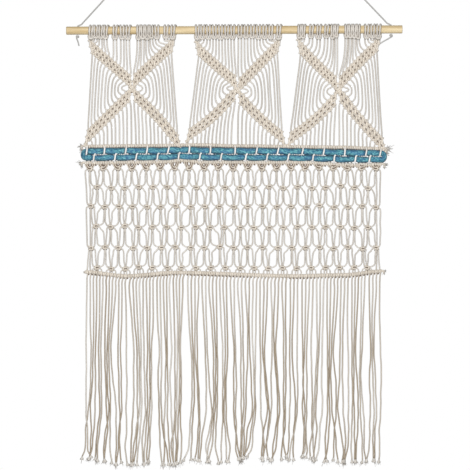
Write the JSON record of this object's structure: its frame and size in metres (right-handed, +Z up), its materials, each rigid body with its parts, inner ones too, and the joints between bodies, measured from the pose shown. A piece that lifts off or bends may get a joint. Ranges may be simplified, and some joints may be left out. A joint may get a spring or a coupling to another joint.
{
  "type": "macrame wall hanging with dowel",
  "caption": "Cotton macrame wall hanging on a wooden dowel: crossed knotted panels, a woven yarn band, an open net of square knots and a long fringe",
  "frame": {"origin": "midway between the tops of the two hanging loops, in the plane of the dowel's axis", "axes": "+X to the right of someone who looks at the hanging on its wall, -Y out of its front, +Z up"},
  "size_m": [0.6, 0.0218, 0.8648],
  "materials": {
    "cotton": "undyed twisted cotton cord, matt",
    "yarn": "thick soft wool-like yarn, matt",
    "wood": "sanded softwood, not varnished",
    "grey_cord": "thin laid cord, matt"
  },
  "bodies": {
    "root": {"dowel": "wood", "hanging_cord_left": "grey_cord", "hanging_cord_right": "grey_cord", "hanging_loop_left": "grey_cord", "hanging_loop_right": "grey_cord", "stopper_knot_left": "grey_cord", "stopper_knot_right": "grey_cord", "panel_left": "cotton", "panel_middle": "cotton", "panel_right": "cotton", "upper_bar": "cotton", "woven_yarn": "yarn", "net": "cotton", "fringe": "cotton"}
  },
  "joints": []
}
